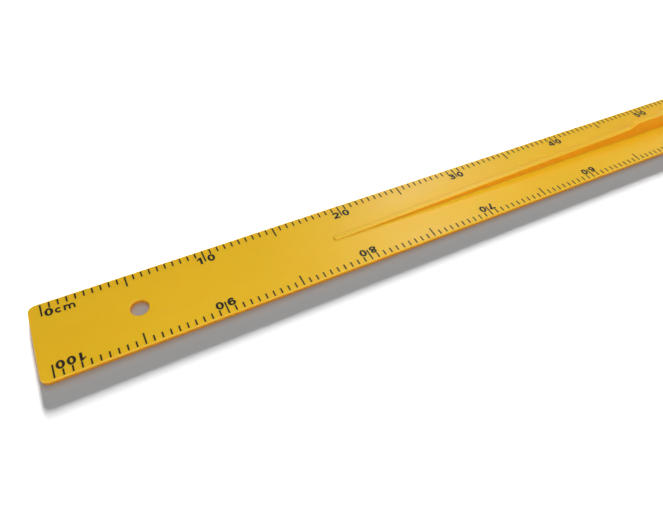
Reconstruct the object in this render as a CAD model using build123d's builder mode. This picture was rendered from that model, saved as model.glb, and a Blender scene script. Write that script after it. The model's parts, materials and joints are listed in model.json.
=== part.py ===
from build123d import *
import os
from math import radians, tan

os.makedirs("parts", exist_ok=True)

# A one-metre plastic board rule: a flat blade with a hanging hole, a raised grip rib along its
# middle, and two printed scales that run in opposite directions, one along each long edge.
# Millimetres. +X runs along the rule, +Y towards the rear scale and +Z up out of the printed face.
# The origin is the middle of the underside.

# ---------------------------------------------------------------- driving dimensions: blade

SCALE_LENGTH = 1000.0         # from the zero mark to the hundred mark
END_MARGIN = 7.5              # blade beyond the last mark at each end
BLADE_WIDTH = 55.8
BLADE_THICKNESS = 3.0
CORNER_RADIUS = 5.0           # corners of the blade in plan
TOP_EDGE_RADIUS = 0.9         # rounding all round the printed face
BOTTOM_EDGE_RADIUS = 0.4

HOLE_FROM_ZERO = 52.65        # hanging hole's centre, along from the rear scale's zero mark
HOLE_RADIUS = 5.6
HOLE_RIM_RADIUS = 0.8         # rounded mouth of the hole in the printed face
HOLE_BACK_RIM_RADIUS = 0.3

# ---------------------------------------------------------------- driving dimensions: grip rib

NOSE_FROM_MIDDLE = 313.5      # each end of the rib is a round nose about a point this far out
FOOT_FROM_MIDDLE = 40.3       # where the low ramp turns up towards the grip
GRIP_FROM_MIDDLE = 34.8       # where the rise turns level
NOSE_HEIGHT = 1.0             # heights of the rib's crest above the printed face
FOOT_HEIGHT = 9.9
GRIP_HEIGHT = 14.3
BEND_RADIUS = 8.0             # bends of the crest at the foot and at the grip
CREST_HALF_WIDTH = 1.9       # before the rounding of the crest's two edges
DRAFT = radians(1.2)          # how far each side wall leans out towards the blade
CREST_EDGE_RADIUS = 0.6

# ---------------------------------------------------------------- driving dimensions: print

INK_THICKNESS = 0.05
MARK_FROM_EDGE = 1.3          # outer end of every scale mark, in from the blade's edge
MARK_WIDTH = 1.0
MARK_PITCH = 5.0
SHORT_MARK = 4.2              # lengths of the marks
FIVE_MARK = 8.0
TEN_MARK = 9.0

DIGIT_WIDTH = 4.9
DIGIT_HEIGHT = 5.7
DIGIT_MIDDLE_FROM_EDGE = 8.7  # middle line of the digits, in from the blade's edge
LEFT_DIGIT_FROM_MARK = 4.0    # centres of the two digits that straddle a mark
RIGHT_DIGIT_FROM_MARK = 3.6
TEN_LABEL_SHIFT = 0.6         # the 10 stands a little to the right, as its 1 is narrow
END_DIGIT_FROM_MARK = 4.1     # centre of the digit next to the zero or the hundred mark
HUNDRED_PITCH = 5.9           # from digit to digit in 100
SIDE_STROKE = 1.6             # thickness of upright strokes
FLAT_STROKE = 1.2             # thickness of level strokes
MEAN_STROKE = 1.4             # thickness of curved strokes
LETTER_HEIGHT = 4.0           # the small letters of the unit
LETTER_STROKE = 1.15
C_FROM_MARK = 9.4             # centres of the letters c and m, from the zero mark
C_WIDTH = 4.0
M_FROM_MARK = 15.7
M_WIDTH = 6.6

# ---------------------------------------------------------------- worked out from them

BLADE_LENGTH = SCALE_LENGTH + 2 * END_MARGIN
ZERO_X = -SCALE_LENGTH / 2
HOLE_X = ZERO_X + HOLE_FROM_ZERO
TOP = BLADE_THICKNESS
MARK_END_Y = BLADE_WIDTH / 2 - MARK_FROM_EDGE
DIGIT_MIDDLE_Y = BLADE_WIDTH / 2 - DIGIT_MIDDLE_FROM_EDGE
DIGIT_FOOT_Y = DIGIT_MIDDLE_Y - DIGIT_HEIGHT / 2
MARKS = round(SCALE_LENGTH / MARK_PITCH) + 1
MARKS_PER_FIVE = 10
MARKS_PER_TEN = 20
DW = DIGIT_WIDTH / 2          # half sizes of a digit, which is drawn about its own centre
DH = DIGIT_HEIGHT / 2


# ---------------------------------------------------------------- the rib's crest and cross-section

def crest_line():
    """Draw the crest from the side: a ramp, a short rise, the level grip, then the same back down."""
    rising = [
        (-NOSE_FROM_MIDDLE, TOP + NOSE_HEIGHT),
        (-FOOT_FROM_MIDDLE, TOP + FOOT_HEIGHT),
        (-GRIP_FROM_MIDDLE, TOP + GRIP_HEIGHT),
    ]
    falling = [(-x, z) for x, z in reversed(rising)]
    FilletPolyline(*rising, *falling, radius=BEND_RADIUS)


def rib_section():
    """Draw the rib's cross-section at its nose, carried down to below the blade."""
    depth = TOP + GRIP_HEIGHT + 1
    foot_half = CREST_HALF_WIDTH + depth * tan(DRAFT)
    top_z = TOP + NOSE_HEIGHT
    foot_z = top_z - depth
    with BuildLine() as outline:
        Polyline(
            (-foot_half, foot_z), (-CREST_HALF_WIDTH, top_z), (CREST_HALF_WIDTH, top_z), (foot_half, foot_z),
            close=True,
        )
    section = make_face(outline.edges())
    fillet(section.vertices().group_by(Axis.Y)[-1], radius=CREST_EDGE_RADIUS)


# ---------------------------------------------------------------- blade

with BuildPart() as blade:
    with BuildSketch():
        RectangleRounded(BLADE_LENGTH, BLADE_WIDTH, CORNER_RADIUS)
        with Locations((HOLE_X, 0)):
            Circle(HOLE_RADIUS, mode=Mode.SUBTRACT)
    extrude(amount=BLADE_THICKNESS)
    fillet(blade.faces().sort_by(Axis.Z)[-1].outer_wire().edges(), TOP_EDGE_RADIUS)
    fillet(blade.faces().sort_by(Axis.Z)[0].outer_wire().edges(), BOTTOM_EDGE_RADIUS)
    fillet(blade.faces().sort_by(Axis.Z)[-1].inner_wires()[0].edges(), HOLE_RIM_RADIUS)
    fillet(blade.faces().sort_by(Axis.Z)[0].inner_wires()[0].edges(), HOLE_BACK_RIM_RADIUS)

blade.part.label = "blade"
export_step(blade.part, "parts/blade.step")

# ---------------------------------------------------------------- grip rib, standing on the blade

with BuildPart() as grip_rib:
    with BuildLine(Plane.XZ) as rib_crest:
        crest_line()
    with BuildSketch(Plane.YZ.offset(-NOSE_FROM_MIDDLE)):
        rib_section()
    sweep(path=rib_crest.wire(), normal=(1, 0, 0))
    for nose_x in (-NOSE_FROM_MIDDLE, NOSE_FROM_MIDDLE):
        with BuildSketch(Plane((nose_x, 0, 0), x_dir=(1, 0, 0), z_dir=(0, -1, 0))):
            rib_section()
            split(bisect_by=Plane.YZ, keep=Keep.TOP)
        revolve(axis=Axis((nose_x, 0, 0), (0, 0, 1)))
    split(bisect_by=Plane.XY.offset(TOP), keep=Keep.TOP)

grip_rib.part.label = "grip_rib"
export_step(grip_rib.part, "parts/grip_rib.step")


# ---------------------------------------------------------------- digits and letters, each about its own centre

def keep_in_cell():
    """Trim the ends of the strokes to the digit's height and width."""
    Rectangle(DIGIT_WIDTH, DIGIT_HEIGHT, mode=Mode.INTERSECT)


def ring(middle_y, half_width, half_height):
    """An oval ring, such as either half of an eight."""
    with Locations((0, middle_y)):
        Ellipse(half_width, half_height)
        Ellipse(half_width - SIDE_STROKE, half_height - FLAT_STROKE, mode=Mode.SUBTRACT)


def draw_zero():
    ring(0, DW, DH)


def draw_one():
    stem_right = DW - 0.95
    stem_left = stem_right - SIDE_STROKE
    flag_left = -DW + 0.65
    with BuildLine() as outline:
        Polyline(
            (stem_right, DH), (stem_right, -DH), (stem_left, -DH), (stem_left, DH - 1.55),
            (flag_left, DH - 2.4), (flag_left, DH - 1.4), (stem_left + 0.35, DH), close=True,
        )
    make_face(outline.edges())


def bent_stroke(center, x_radius, y_radius, start_angle, arc_size, width=MEAN_STROKE):
    """A stroke along part of an oval."""
    with BuildLine() as arc:
        EllipticalCenterArc(center, x_radius, y_radius, start_angle=start_angle, arc_size=arc_size)
    trace(arc.line, width)


def draw_two():
    with BuildLine() as neck:
        bowl = EllipticalCenterArc((0, 1.05), DW - 0.65, DH - 1.65, start_angle=-45, arc_size=210)
        Line((-DW + 0.6, -DH + 0.6), bowl @ 0)
    trace(neck.line, MEAN_STROKE)
    with Locations((0, -DH + FLAT_STROKE / 2)):
        Rectangle(DIGIT_WIDTH - 0.2, FLAT_STROKE)
    keep_in_cell()


def draw_three():
    waist_y = 0.25
    upper_rise = (DH - MEAN_STROKE / 2 - waist_y) / 2
    lower_rise = (DH - MEAN_STROKE / 2 + waist_y) / 2
    bent_stroke((-0.15, waist_y + upper_rise), DW - 0.8, upper_rise, start_angle=-90, arc_size=245)
    bent_stroke((-0.15, waist_y - lower_rise), DW - 0.5, lower_rise, start_angle=-155, arc_size=245)
    with Locations((-0.3, waist_y)):
        Rectangle(1.0, MEAN_STROKE)


def draw_four():
    stem_right = DW - 0.5
    stem_left = stem_right - SIDE_STROKE
    bar_top = -DH + 2.15
    bar_foot = bar_top - FLAT_STROKE
    with BuildLine() as outline:
        Polyline(
            (-DW, bar_foot), (-DW, bar_top), (stem_left - 0.1, DH), (stem_right, DH), (stem_right, bar_foot),
            close=True,
        )
    make_face(outline.edges())
    with BuildLine() as eye:
        Polyline((-DW + 1.35, bar_top), (stem_left, bar_top), (stem_left, DH - 1.7), close=True)
    make_face(eye.edges(), mode=Mode.SUBTRACT)
    with Locations((stem_right - SIDE_STROKE / 2, -DH)):
        Rectangle(SIDE_STROKE, 2, align=(Align.CENTER, Align.MIN))
    with Locations((DW, bar_foot)):
        Rectangle(1, FLAT_STROKE, align=(Align.MAX, Align.MIN))


def draw_five():
    bowl_y = -0.95
    bent_stroke((0, bowl_y), DW - 0.6, DH - 0.6 + bowl_y, start_angle=-155, arc_size=280)
    with BuildLine() as back:
        Polyline((-1.7, DH), (-0.65, DH), (-0.9, 0.55), (-0.75, -0.4), (-2.1, -0.25), close=True)
    make_face(back.edges())
    with Locations((-1.7, DH)):
        Rectangle(DIGIT_WIDTH - 1.0, FLAT_STROKE, align=(Align.MIN, Align.MAX))


def draw_six():
    bowl_y = -0.9
    ring(bowl_y, DW, DH + bowl_y)
    with BuildLine() as stem:
        bend = EllipticalCenterArc((0, 0), DW - 0.6, DH - 0.6, start_angle=38, arc_size=142)
        Line(bend @ 1, (-DW + 0.6, bowl_y))
    trace(stem.line, MEAN_STROKE)


def draw_seven():
    with Locations((0, DH - FLAT_STROKE / 2)):
        Rectangle(DIGIT_WIDTH - 0.2, FLAT_STROKE)
    with BuildLine() as leg:
        ThreePointArc((DW - 0.75, DH - 0.6), (0.35, 0), (-0.45, -DH - 0.3))
    trace(leg.line, SIDE_STROKE)
    keep_in_cell()


def draw_eight():
    ring(-1.2, DW, DH - 1.2)
    ring(1.35, DW - 0.35, DH - 1.35)
    with Locations((0, 0.18)):
        Rectangle(1.6, FLAT_STROKE)


def draw_c():
    x_radius = (C_WIDTH - LETTER_STROKE) / 2
    y_radius = (LETTER_HEIGHT - LETTER_STROKE) / 2
    bent_stroke((0, 0), x_radius, y_radius, start_angle=42, arc_size=276, width=LETTER_STROKE)


def draw_m():
    stem_step = (M_WIDTH - LETTER_STROKE) / 2
    arch_top = (LETTER_HEIGHT - LETTER_STROKE) / 2
    arch_y = arch_top - stem_step / 2
    with Locations((-stem_step, 0)):
        Rectangle(LETTER_STROKE, LETTER_HEIGHT)
    for left in (-stem_step, 0):
        with BuildLine() as arch:
            CenterArc((left + stem_step / 2, arch_y), stem_step / 2, start_angle=0, arc_size=180)
            Line((left + stem_step, arch_y), (left + stem_step, -LETTER_HEIGHT / 2))
        trace(arch.line, LETTER_STROKE)


DRAWINGS = {
    "0": draw_zero, "1": draw_one, "2": draw_two, "3": draw_three, "4": draw_four,
    "5": draw_five, "6": draw_six, "7": draw_seven, "8": draw_eight, "c": draw_c, "m": draw_m,
}


def character(name):
    """The sketch of one digit or letter. A nine is a six turned half round."""
    turned = name == "9"
    with BuildSketch(Plane.XY.rotated((0, 0, 180 if turned else 0))) as drawing:
        DRAWINGS["6" if turned else name]()
    return drawing.sketch


# ---------------------------------------------------------------- where the print stands on either scale

def numeral_layout(centimetres):
    """The digits of one numeral, each with the place of its centre along from the numeral's mark."""
    if centimetres == 0:
        return [("0", END_DIGIT_FROM_MARK)]
    if centimetres == 100:
        return [(digit, -END_DIGIT_FROM_MARK - HUNDRED_PITCH * (2 - i)) for i, digit in enumerate("100")]
    shift = TEN_LABEL_SHIFT if centimetres == 10 else 0
    return [(str(centimetres)[0], shift - LEFT_DIGIT_FROM_MARK), ("0", shift + RIGHT_DIGIT_FROM_MARK)]


def write_print(face, name, mark_x, placed_characters):
    """One printed label: its characters stand on the face beside the mark at mark_x."""
    with BuildPart() as label:
        with BuildSketch(face):
            for drawing, x, y in placed_characters:
                with Locations((mark_x + x, y)):
                    add(drawing)
        extrude(amount=INK_THICKNESS)
    label.part.label = name
    export_step(label.part, f"parts/{name}.step")


def write_marks(face, name, numbers, length):
    """One set of equal scale marks, numbered in half centimetres from the zero mark."""
    with BuildPart() as marks:
        with BuildSketch(face):
            with Locations(*[(ZERO_X + n * MARK_PITCH, MARK_END_Y) for n in numbers]):
                Rectangle(MARK_WIDTH, length, align=(Align.CENTER, Align.MAX))
        extrude(amount=INK_THICKNESS)
    marks.part.label = name
    export_step(marks.part, f"parts/{name}.step")


# The front scale is the rear scale turned half round, so each edge reads from its own left end.
SCALE_FACES = {
    "rear": Plane.XY.offset(TOP),
    "front": Plane.XY.offset(TOP).rotated((0, 0, 180)),
}

characters = {name: character(name) for name in "0123456789cm"}
ten_marks = [n for n in range(MARKS) if n % MARKS_PER_TEN == 0]
five_marks = [n for n in range(MARKS) if n % MARKS_PER_FIVE == 0 and n not in ten_marks]
short_marks = [n for n in range(MARKS) if n % MARKS_PER_FIVE]

for edge, scale_face in SCALE_FACES.items():
    write_marks(scale_face, f"{edge}_half_centimetre_marks", short_marks, SHORT_MARK)
    write_marks(scale_face, f"{edge}_five_centimetre_marks", five_marks, FIVE_MARK)
    write_marks(scale_face, f"{edge}_ten_centimetre_marks", ten_marks, TEN_MARK)
    for centimetres in range(0, 101, 10):
        digits = [(characters[digit], x, DIGIT_MIDDLE_Y) for digit, x in numeral_layout(centimetres)]
        write_print(scale_face, f"{edge}_numeral_{centimetres}", ZERO_X + 10 * centimetres, digits)
    letter_y = DIGIT_FOOT_Y + LETTER_HEIGHT / 2
    unit = [(characters["c"], C_FROM_MARK, letter_y), (characters["m"], M_FROM_MARK, letter_y)]
    write_print(scale_face, f"{edge}_unit_cm", ZERO_X, unit)
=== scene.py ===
import json
from math import atan, cos, pi, radians, sin, sqrt, tan

import bmesh
import bpy
from mathutils import Euler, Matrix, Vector
from mathutils.geometry import tessellate_polygon

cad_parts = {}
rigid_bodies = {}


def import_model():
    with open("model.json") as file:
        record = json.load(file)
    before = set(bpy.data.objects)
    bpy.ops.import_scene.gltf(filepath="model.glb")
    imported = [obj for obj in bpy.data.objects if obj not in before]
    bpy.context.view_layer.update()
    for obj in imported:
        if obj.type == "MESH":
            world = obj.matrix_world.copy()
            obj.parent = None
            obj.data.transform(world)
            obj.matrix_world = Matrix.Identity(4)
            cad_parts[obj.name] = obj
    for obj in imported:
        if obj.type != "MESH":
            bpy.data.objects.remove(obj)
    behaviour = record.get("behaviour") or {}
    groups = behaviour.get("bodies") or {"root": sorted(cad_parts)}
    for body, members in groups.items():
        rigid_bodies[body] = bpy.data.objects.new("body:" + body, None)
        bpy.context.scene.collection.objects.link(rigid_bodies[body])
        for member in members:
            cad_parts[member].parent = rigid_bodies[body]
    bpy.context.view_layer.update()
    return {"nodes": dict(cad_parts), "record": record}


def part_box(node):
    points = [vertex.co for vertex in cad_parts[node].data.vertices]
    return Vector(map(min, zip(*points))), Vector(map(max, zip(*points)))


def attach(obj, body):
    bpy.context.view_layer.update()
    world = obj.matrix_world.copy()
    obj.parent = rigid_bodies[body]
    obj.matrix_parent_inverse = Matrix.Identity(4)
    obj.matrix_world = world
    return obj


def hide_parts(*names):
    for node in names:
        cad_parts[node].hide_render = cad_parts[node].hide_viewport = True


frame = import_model()

# A one-metre yellow plastic board rule. +X runs along it, +Y towards the rear scale and +Z up out of
# the printed face. Metres, in the CAD frame. The plan sizes are read from the CAD nodes, and the
# roundings and the rib's section repeat the CAD model's driving dimensions.

MM = 0.001

BLADE_LOW, BLADE_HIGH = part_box("blade")
RIB_LOW, RIB_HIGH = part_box("grip_rib")
TOP = BLADE_HIGH.z
HALF_LENGTH = BLADE_HIGH.x
HALF_WIDTH = BLADE_HIGH.y

CORNER_RADIUS = 5.0 * MM
TOP_EDGE_RADIUS = 0.9 * MM
BOTTOM_EDGE_RADIUS = 0.4 * MM
HOLE_X, HOLE_Y, _ = frame["record"]["mounts"][0]["pos_m"]
HOLE_RADIUS = frame["record"]["mounts"][0]["dims"]["r_mm"] * MM
HOLE_RIM_RADIUS = 0.8 * MM
HOLE_BACK_RIM_RADIUS = 0.3 * MM

NOSE_X = 313.5 * MM
FOOT_X = 40.3 * MM
GRIP_X = 34.8 * MM
NOSE_HEIGHT = 1.0 * MM
FOOT_HEIGHT = 9.9 * MM
GRIP_HEIGHT = RIB_HIGH.z - TOP
BEND_RADIUS = 8.0 * MM
CREST_HALF_WIDTH = 1.9 * MM
CREST_EDGE_RADIUS = 0.6 * MM
DRAFT = radians(1.2)
FOOT_FLARE = 0.4 * MM         # soft concave corner where the rib meets the blade

RIB_STEP = 6.0 * MM           # between cross-sections along the ramps
BEND_STEP = 0.4 * MM          # between cross-sections at the step up to the grip
BEND_REACH = 6.0 * MM         # how far past the step the close cross-sections go on
GRIP_STEP = 8.0 * MM          # between cross-sections along the level grip
NOSE_STEPS = 14               # sides of each half-round nose

CAMERA_LENS = 29.67
CAMERA_PLACE = (-0.44101, -0.21329, 0.27763)      # height is above the printed face
CAMERA_TURN = (40.070, -2.766, -27.038)
LENS_OFFSET = 0.000754        # the lens axis stands a little off the middle of the picture

# Softboxes: name, x of the point aimed at, azimuth and elevation in degrees, distance, size, watts.
RULE_LIGHTS = [
    ("sheen", -0.30, 47, 43, 1.6, 0.35, 2.5),
    ("front_left", -0.24, 230, 50, 0.75, 0.5, 2.0),
    ("front_right", -0.40, 310, 50, 0.75, 0.5, 1.4),
    ("overhead", -0.04, 0, 88, 0.75, 0.5, 1.1),
    ("far_end", -0.04, 0, 40, 0.75, 0.5, 0.8),
]
LOW_FLOOR_LIGHT = ("paper_low", -0.24, 90, 6, 1.8, 0.35, 520)
HIGH_FLOOR_LIGHT = ("paper_high", -0.24, 90, 45, 1.8, 0.9, 4)
WORLD_STRENGTH = 0.256

PLASTIC_DEEP = (0.79, 0.462, 0.004)
PLASTIC_PALE = (0.85, 0.520, 0.007)
PLASTIC_WALL_SHADE = (0.87, 0.345, 0.003)   # painted shade: a deeper orange for steep faces, standing in for the shade and orange bounce light on the walls
PLASTIC_SCUFF = (0.88, 0.60, 0.14)
PLASTIC_SPECK = (0.20, 0.085, 0.012)
INK_FULL = (0.010, 0.0045, 0.004)
INK_THIN = (0.020, 0.009, 0.006)


# ---------------------------------------------------------------- mesh helpers

def make_object(name, bm, sharp_angle=40):
    """Turn a bmesh into a smooth-shaded object with its normals weighted by face area."""
    bmesh.ops.recalc_face_normals(bm, faces=bm.faces)
    mesh = bpy.data.meshes.new(name)
    bm.to_mesh(mesh)
    bm.free()
    mesh.polygons.foreach_set("use_smooth", [True] * len(mesh.polygons))
    mesh.set_sharp_from_angle(angle=radians(sharp_angle))
    obj = bpy.data.objects.new(name, mesh)
    bpy.context.scene.collection.objects.link(obj)
    weighted = obj.modifiers.new("weighted_normals", "WEIGHTED_NORMAL")
    weighted.keep_sharp = True
    return obj


def add_ring(bm, points):
    return [bm.verts.new(p) for p in points]


def bridge(bm, lower, upper):
    """Quads between two closed rings with the same number of vertices."""
    count = len(lower)
    for i in range(count):
        j = (i + 1) % count
        bm.faces.new((lower[i], lower[j], upper[j], upper[i]))


def fill_flat(bm, outer, *holes):
    """A flat face inside one ring and outside the others."""
    rings = [outer, *holes]
    verts = [v for ring in rings for v in ring]
    for triangle in tessellate_polygon([[v.co.copy() for v in ring] for ring in rings]):
        corners = [verts[i] for i in triangle]
        if len(set(corners)) == 3:
            bm.faces.new(corners)


def quarter_round(radius, steps):
    """(inset, height) pairs up a convex quarter round, from the side wall to the flat face."""
    angles = [(pi / 2) * i / steps for i in range(steps + 1)]
    return [(radius * (1 - cos(a)), radius * sin(a)) for a in angles]


def rounded_levels(bottom_radius, bottom_steps, top_radius, top_steps):
    """(inset, z) pairs up the blade's thickness, rounded at the underside and at the printed face."""
    bottom = [(inset, bottom_radius - rise) for inset, rise in quarter_round(bottom_radius, bottom_steps)]
    top = [(inset, TOP - top_radius + rise) for inset, rise in quarter_round(top_radius, top_steps)]
    return bottom[::-1] + top


def rounded_rectangle(half_length, half_width, radius, z, steps=10):
    points = []
    corners = [(1, -1, -90), (1, 1, 0), (-1, 1, 90), (-1, -1, 180)]
    for sx, sy, start in corners:
        cx = sx * (half_length - radius)
        cy = sy * (half_width - radius)
        for i in range(steps + 1):
            a = radians(start + 90 * i / steps)
            points.append(Vector((cx + radius * cos(a), cy + radius * sin(a), z)))
    return points


def circle(cx, cy, radius, z, count=72):
    return [Vector((cx + radius * cos(2 * pi * i / count), cy + radius * sin(2 * pi * i / count), z))
            for i in range(count)]


# ---------------------------------------------------------------- the rib's crest and section

def crest_height(x):
    """Height of the crest above the printed face at distance x from the middle."""
    x = abs(x)
    slope = (FOOT_HEIGHT - NOSE_HEIGHT) / (NOSE_X - FOOT_X)
    ramp_angle = atan(slope)
    rise_slope = (GRIP_HEIGHT - FOOT_HEIGHT) / (FOOT_X - GRIP_X)
    rise_angle = atan(rise_slope)
    foot_run = BEND_RADIUS * tan((rise_angle - ramp_angle) / 2)
    grip_run = BEND_RADIUS * tan(rise_angle / 2)
    foot_start = FOOT_X + foot_run * cos(ramp_angle)
    foot_end = FOOT_X - foot_run * cos(rise_angle)
    grip_start = GRIP_X + grip_run * cos(rise_angle)
    grip_end = GRIP_X - grip_run
    if x >= foot_start:
        return FOOT_HEIGHT - (x - FOOT_X) * slope
    if x > foot_end:
        centre_x = foot_start - BEND_RADIUS * sin(ramp_angle)
        centre_z = FOOT_HEIGHT - (foot_start - FOOT_X) * slope + BEND_RADIUS * cos(ramp_angle)
        return centre_z - sqrt(BEND_RADIUS ** 2 - (x - centre_x) ** 2)
    if x >= grip_start:
        return FOOT_HEIGHT + (FOOT_X - x) * rise_slope
    if x > grip_end:
        return GRIP_HEIGHT - BEND_RADIUS + sqrt(BEND_RADIUS ** 2 - (x - grip_end) ** 2)
    return GRIP_HEIGHT


def section_points(height, wall_steps=6, arc_steps=9):
    """Half of the rib's section at one place, as (half width, height above the face), foot to crest."""
    flat = CREST_HALF_WIDTH - CREST_EDGE_RADIUS * tan((pi / 2 - DRAFT) / 2)
    centre = height - CREST_EDGE_RADIUS
    wall_top = max(0.0, centre + CREST_EDGE_RADIUS * sin(DRAFT))
    points = []
    for i in range(wall_steps):
        z = wall_top * (i / wall_steps) ** 1.6
        points.append([CREST_HALF_WIDTH + (height - z) * tan(DRAFT), z])
    for i in range(arc_steps + 1):
        a = DRAFT + (pi / 2 - DRAFT) * i / arc_steps
        points.append([flat + CREST_EDGE_RADIUS * cos(a), centre + CREST_EDGE_RADIUS * sin(a)])
    for p in points:
        if p[1] < FOOT_FLARE:
            p[0] += FOOT_FLARE * (1 - sqrt(1 - ((FOOT_FLARE - p[1]) / FOOT_FLARE) ** 2))
    return points


def stations():
    """Places along the rib, close together at the bends of its crest."""
    places = []
    x = NOSE_X
    while x > FOOT_X + BEND_REACH:
        places.append(x)
        x -= RIB_STEP
    while x > GRIP_X - BEND_REACH:
        places.append(x)
        x -= BEND_STEP
    while x > GRIP_STEP / 2:
        places.append(x)
        x -= GRIP_STEP
    return places + [0.0] + [-p for p in reversed(places)]


# ---------------------------------------------------------------- blade

def build_blade():
    """The flat blade, rounded all round, with its hanging hole."""
    bm = bmesh.new()
    edge_rings = []
    for inset, z in rounded_levels(BOTTOM_EDGE_RADIUS, 4, TOP_EDGE_RADIUS, 8):
        outline = rounded_rectangle(HALF_LENGTH - inset, HALF_WIDTH - inset, CORNER_RADIUS - inset, z)
        edge_rings.append(add_ring(bm, outline))
    for lower, upper in zip(edge_rings, edge_rings[1:]):
        bridge(bm, lower, upper)

    hole_rings = []
    for inset, z in rounded_levels(HOLE_BACK_RIM_RADIUS, 3, HOLE_RIM_RADIUS, 8):
        hole_rings.append(add_ring(bm, circle(HOLE_X, HOLE_Y, HOLE_RADIUS + inset, z)))
    for lower, upper in zip(hole_rings, hole_rings[1:]):
        bridge(bm, upper, lower)

    fill_flat(bm, edge_rings[0], hole_rings[0])
    fill_flat(bm, edge_rings[-1], hole_rings[-1])
    return make_object("blade_moulding", bm)


# ---------------------------------------------------------------- grip rib

def nose_points(centre_x, radius, z, start):
    """The half circle round one end of the rib, without its two ends."""
    angles = [start + pi * i / NOSE_STEPS for i in range(1, NOSE_STEPS)]
    return [Vector((centre_x + radius * cos(a), radius * sin(a), z)) for a in angles]


def build_rib():
    """The rib as a stack of closed rings, from its foot on the blade up to its crest."""
    bm = bmesh.new()
    places = stations()
    sections = [section_points(crest_height(x)) for x in places]
    rings = []
    for level in range(len(sections[0])):
        radius, height = sections[0][level]
        sides = [(x, section[level][0], TOP + section[level][1]) for x, section in zip(places, sections)]
        ring = nose_points(NOSE_X, radius, TOP + height, -pi / 2)
        ring += [Vector((x, half, z)) for x, half, z in sides]
        ring += nose_points(-NOSE_X, radius, TOP + height, pi / 2)
        ring += [Vector((x, -half, z)) for x, half, z in reversed(sides)]
        rings.append(add_ring(bm, ring))
    for lower, upper in zip(rings, rings[1:]):
        bridge(bm, lower, upper)

    crest = rings[-1]
    count = len(places)
    nose_count = NOSE_STEPS - 1
    rear = crest[nose_count:nose_count + count]
    far_nose = crest[nose_count + count:2 * nose_count + count]
    front = crest[2 * nose_count + count:][::-1]
    for i in range(count - 1):
        bm.faces.new((rear[i], rear[i + 1], front[i + 1], front[i]))
    bm.faces.new([front[0]] + crest[:nose_count] + [rear[0]])
    bm.faces.new([rear[-1]] + far_nose + [front[-1]])
    fill_flat(bm, rings[0])
    return make_object("grip_rib_moulding", bm)


# ---------------------------------------------------------------- materials

def new_material(name):
    material = bpy.data.materials.new(name)
    material.use_nodes = True
    tree = material.node_tree
    shader = tree.nodes["Principled BSDF"]
    return material, tree, shader


def node(tree, kind, **settings):
    made = tree.nodes.new(kind)
    for key, value in settings.items():
        if key in made.inputs:
            made.inputs[key].default_value = value
        else:
            setattr(made, key, value)
    return made


def noise(tree, place, stretch, detail=3.0):
    """Noise whose cells are 1/stretch metres long, along and across the rule and up."""
    mapping = node(tree, "ShaderNodeMapping")
    mapping.inputs["Scale"].default_value = stretch
    made = node(tree, "ShaderNodeTexNoise", Scale=1.0, Detail=detail)
    tree.links.new(place.outputs["Object"], mapping.inputs["Vector"])
    tree.links.new(mapping.outputs["Vector"], made.inputs["Vector"])
    return made


def remap(tree, source, low, high, to_low, to_high):
    made = node(tree, "ShaderNodeMapRange")
    made.inputs["From Min"].default_value = low
    made.inputs["From Max"].default_value = high
    made.inputs["To Min"].default_value = to_low
    made.inputs["To Max"].default_value = to_high
    tree.links.new(source, made.inputs["Value"])
    return made.outputs["Result"]


def arithmetic(tree, operation, first, second):
    made = node(tree, "ShaderNodeMath", operation=operation)
    for value, socket in ((first, made.inputs[0]), (second, made.inputs[1])):
        if isinstance(value, float):
            socket.default_value = value
        else:
            tree.links.new(value, socket)
    return made.outputs["Value"]


def blend(tree, factor, first, second):
    """A colour between two others; each is a colour or the output of another blend."""
    made = node(tree, "ShaderNodeMix", data_type="RGBA")
    tree.links.new(factor, made.inputs["Factor"])
    for value, name in ((first, "A"), (second, "B")):
        if isinstance(value, tuple):
            made.inputs[name].default_value = (*value, 1)
        else:
            tree.links.new(value, made.inputs[name])
    return made.outputs["Result"]


def dents(tree, shader, *layers):
    """Stack bumps of (height output, depth in metres) onto the shader's normal."""
    normal = None
    for height, depth in layers:
        bump = node(tree, "ShaderNodeBump", Distance=depth, Strength=1.0)
        tree.links.new(height, bump.inputs["Height"])
        if normal:
            tree.links.new(normal, bump.inputs["Normal"])
        normal = bump.outputs["Normal"]
    tree.links.new(normal, shader.inputs["Normal"])


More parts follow.
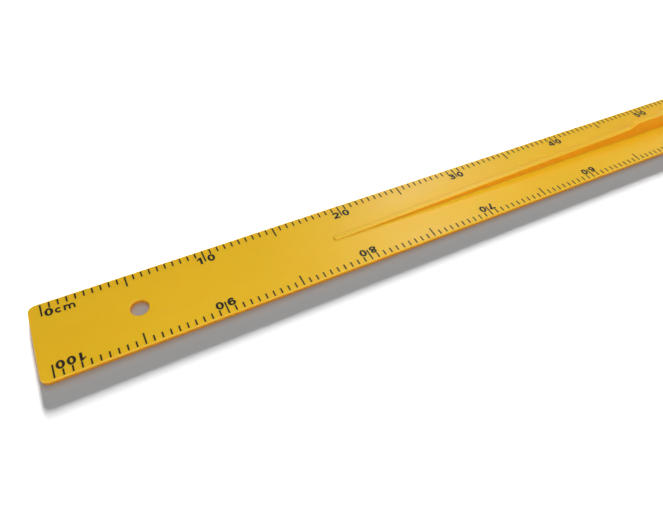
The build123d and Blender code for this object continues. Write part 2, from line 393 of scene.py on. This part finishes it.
def yellow_plastic():
    """Satin moulded plastic, with flow clouds, a fine mould grain, handling scuffs, a few dark specks and
    painted shade on its steep walls.
    """
    material, tree, shader = new_material("yellow_plastic")
    shader.inputs["IOR"].default_value = 1.49
    shader.inputs["Subsurface Weight"].default_value = 0.35
    shader.inputs["Subsurface Radius"].default_value = (1.0, 0.30, 0.04)
    shader.inputs["Subsurface Scale"].default_value = 3.0 * MM
    place = node(tree, "ShaderNodeTexCoord")
    flow = noise(tree, place, (11.0, 42.0, 42.0))                # slow clouds along the plastic's flow
    grain = noise(tree, place, (2100.0, 2100.0, 2100.0), 1.0)    # fine mould grain
    peel = noise(tree, place, (210.0, 300.0, 300.0), 2.0)        # faint waviness of the skin
    scuff = noise(tree, place, (38.0, 2300.0, 900.0), 2.0)       # thin lengthwise scratches
    patch = noise(tree, place, (27.0, 60.0, 60.0), 2.0)          # where hands have rubbed

    scratched = remap(tree, scuff.outputs["Fac"], 0.64, 0.72, 0.0, 1.0)
    handled = remap(tree, patch.outputs["Fac"], 0.46, 0.62, 0.0, 1.0)
    scratches = arithmetic(tree, "MULTIPLY", scratched, handled)

    cells = node(tree, "ShaderNodeTexVoronoi", Scale=150.0, Randomness=1.0)
    tree.links.new(place.outputs["Object"], cells.inputs["Vector"])
    rarity = node(tree, "ShaderNodeSeparateColor")
    tree.links.new(cells.outputs["Color"], rarity.inputs["Color"])
    small = remap(tree, cells.outputs["Distance"], 0.030, 0.055, 1.0, 0.0)
    rare = remap(tree, rarity.outputs["Red"], 0.955, 0.965, 0.0, 1.0)
    specks = arithmetic(tree, "MULTIPLY", small, rare)

    clouded = blend(tree, flow.outputs["Fac"], PLASTIC_DEEP, PLASTIC_PALE)
    # painted shade: steep faces blend towards a deeper orange, standing in for the shade and bounce light on
    # the rib's walls and the blade's sides
    upright = node(tree, "ShaderNodeSeparateXYZ")
    tree.links.new(place.outputs["Normal"], upright.inputs["Vector"])
    wall_shade_mask = remap(tree, upright.outputs["Z"], 0.20, 0.60, 1.0, 0.0)
    wall_shaded = blend(tree, wall_shade_mask, clouded, PLASTIC_WALL_SHADE)
    scuffed = blend(tree, arithmetic(tree, "MULTIPLY", scratches, 0.22), wall_shaded, PLASTIC_SCUFF)
    speckled = blend(tree, arithmetic(tree, "MULTIPLY", specks, 0.6), scuffed, PLASTIC_SPECK)
    tree.links.new(speckled, shader.inputs["Base Color"])

    cloud_gloss = remap(tree, flow.outputs["Fac"], 0.3, 0.7, 0.31, 0.40)
    worn_gloss = arithmetic(tree, "ADD", cloud_gloss, arithmetic(tree, "MULTIPLY", scratches, 0.16))
    tree.links.new(worn_gloss, shader.inputs["Roughness"])
    dents(
        tree, shader,
        (peel.outputs["Fac"], 0.045 * MM),
        (grain.outputs["Fac"], 0.010 * MM),
        (arithmetic(tree, "MULTIPLY", scratches, -1.0), 0.006 * MM),
    )
    return material


def black_ink():
    """Printed ink: brown-black, a little uneven in cover and gloss, with worn pinholes."""
    material, tree, shader = new_material("black_ink")
    shader.inputs["IOR"].default_value = 1.45
    place = node(tree, "ShaderNodeTexCoord")
    cover = noise(tree, place, (700.0, 700.0, 700.0), 4.0)
    wear = noise(tree, place, (2600.0, 2600.0, 2600.0), 2.0)
    thin = remap(tree, cover.outputs["Fac"], 0.35, 0.7, 0.0, 1.0)
    pinholes = remap(tree, wear.outputs["Fac"], 0.70, 0.76, 0.0, 0.55)
    printed = blend(tree, thin, INK_FULL, INK_THIN)
    worn = blend(tree, pinholes, printed, PLASTIC_DEEP)
    tree.links.new(worn, shader.inputs["Base Color"])
    tree.links.new(remap(tree, cover.outputs["Fac"], 0.3, 0.7, 0.42, 0.58), shader.inputs["Roughness"])
    dents(tree, shader, (cover.outputs["Fac"], 0.008 * MM), (wear.outputs["Fac"], 0.004 * MM))
    return material


# ---------------------------------------------------------------- camera, floor and light

def build_camera():
    data = bpy.data.cameras.new("camera")
    data.sensor_width = 36.0
    data.lens = CAMERA_LENS
    data.clip_start = 0.01
    data.shift_x = -LENS_OFFSET
    data.shift_y = LENS_OFFSET
    camera = bpy.data.objects.new("camera", data)
    x, y, height = CAMERA_PLACE
    camera.location = (x, y, TOP + height)
    camera.rotation_euler = Euler([radians(angle) for angle in CAMERA_TURN], "XYZ")
    bpy.context.scene.collection.objects.link(camera)
    bpy.context.scene.camera = camera


def build_floor():
    bm = bmesh.new()
    bmesh.ops.create_grid(bm, x_segments=1, y_segments=1, size=4.0)
    mesh = bpy.data.meshes.new("floor")
    bm.to_mesh(mesh)
    bm.free()
    floor = bpy.data.objects.new("floor", mesh)
    bpy.context.scene.collection.objects.link(floor)
    material, tree, shader = new_material("floor_paper")
    shader.inputs["Base Color"].default_value = (0.9, 0.9, 0.9, 1)
    shader.inputs["Roughness"].default_value = 0.9
    floor.data.materials.append(material)


def area_light(lit, name, aim_x, azimuth, elevation, distance, size, power, blockers=None):
    """A square softbox aimed at the rule at aim_x, which lights only the pieces in one collection.

    With blockers, only the pieces in that collection cast its shadow.
    """
    aim = Vector((aim_x, 0, 0))
    across = Vector((cos(radians(azimuth)), sin(radians(azimuth)), tan(radians(elevation)))).normalized()
    data = bpy.data.lights.new(name, "AREA")
    data.shape = "SQUARE"
    data.size = size
    data.energy = power
    light = bpy.data.objects.new(name, data)
    light.location = aim + across * distance
    light.rotation_euler = (-across).to_track_quat("-Z", "Y").to_euler()
    light.light_linking.receiver_collection = lit
    light.light_linking.blocker_collection = blockers
    bpy.context.scene.collection.objects.link(light)


def build_light(shadow_caster):
    """Soft light on the rule, and a low light on the floor from behind for an even soft shadow."""
    world = bpy.data.worlds.new("studio")
    bpy.context.scene.world = world
    world.use_nodes = True
    background = world.node_tree.nodes["Background"]
    background.inputs["Color"].default_value = (1.0, 1.0, 1.0, 1)
    background.inputs["Strength"].default_value = WORLD_STRENGTH
    on_rule = bpy.data.collections.new("lit_rule")
    on_floor = bpy.data.collections.new("lit_floor")
    shading = bpy.data.collections.new("casts_long_shadow")
    shading.objects.link(shadow_caster)
    for obj in bpy.context.scene.objects:
        if obj.type == "MESH":
            (on_floor if obj.name == "floor" else on_rule).objects.link(obj)
    for settings in RULE_LIGHTS:
        area_light(on_rule, *settings)
    area_light(on_floor, *LOW_FLOOR_LIGHT, blockers=shading)
    area_light(on_floor, *HIGH_FLOOR_LIGHT)
    bpy.context.scene.view_settings.view_transform = "Standard"


build_camera()
build_floor()

plastic = yellow_plastic()
ink = black_ink()

blade = build_blade()
blade.data.materials.append(plastic)
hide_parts("blade")

rib = build_rib()
rib.data.materials.append(plastic)
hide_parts("grip_rib")

for piece in (blade, rib):
    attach(piece, "root")

for name, obj in frame["nodes"].items():
    if name not in ("blade", "grip_rib"):
        for material_slot in obj.material_slots:
            material_slot.material = ink

build_light(blade)
